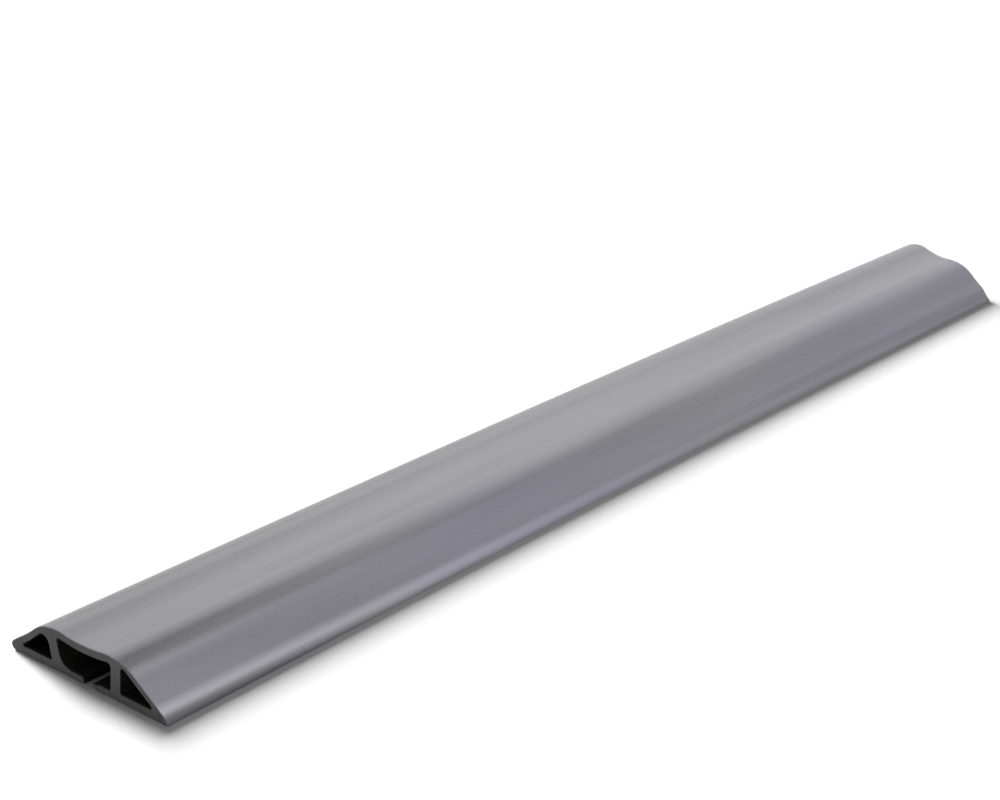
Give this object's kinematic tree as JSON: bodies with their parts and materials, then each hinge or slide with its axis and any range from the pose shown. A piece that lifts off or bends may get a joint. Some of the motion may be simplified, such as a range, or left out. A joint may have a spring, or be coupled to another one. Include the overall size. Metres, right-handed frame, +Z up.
{
  "type": "floor cable cover",
  "caption": "Low soft floor strip with sloped flanks, rounded crests and hollow side chambers; its base opens along a slit so that cables can be laid in the channel.",
  "frame": {"origin": "on the floor, under the middle of the strip", "axes": "+X across the strip towards the right ramp, +Y along the strip, +Z up from the floor"},
  "size_m": [0.07, 0.5, 0.0151],
  "materials": {
    "soft_grey_plastic": "smooth matte extruded surface, darker on the sawn ends"
  },
  "bodies": {
    "roof": {"channel_roof": "soft_grey_plastic"},
    "left_side": {"left_ramp": "soft_grey_plastic"},
    "right_side": {"right_ramp": "soft_grey_plastic"},
    "left_flap": {"left_floor_lip": "soft_grey_plastic"},
    "right_flap": {"right_floor_lip": "soft_grey_plastic"}
  },
  "joints": [
    {"name": "left_side_spread", "type": "hinge", "parent": "roof", "child": "left_side", "pos_m": [-0.0085, 0, 0.01486], "axis": [0, 1, 0], "range_deg": [0, 35], "stiffness_Nm_per_rad": 0.8},
    {"name": "right_side_spread", "type": "hinge", "parent": "roof", "child": "right_side", "pos_m": [0.0085, 0, 0.01486], "axis": [0, -1, 0], "range_deg": [0, 35], "stiffness_Nm_per_rad": 0.8},
    {"name": "left_lip_lift", "type": "hinge", "parent": "left_side", "child": "left_flap", "pos_m": [-0.009, 0, 0.0027], "axis": [0, -1, 0], "range_deg": [0, 60], "stiffness_Nm_per_rad": 0.4},
    {"name": "right_lip_lift", "type": "hinge", "parent": "right_side", "child": "right_flap", "pos_m": [0.009, 0, 0.0027], "axis": [0, 1, 0], "range_deg": [0, 60], "stiffness_Nm_per_rad": 0.4}
  ]
}
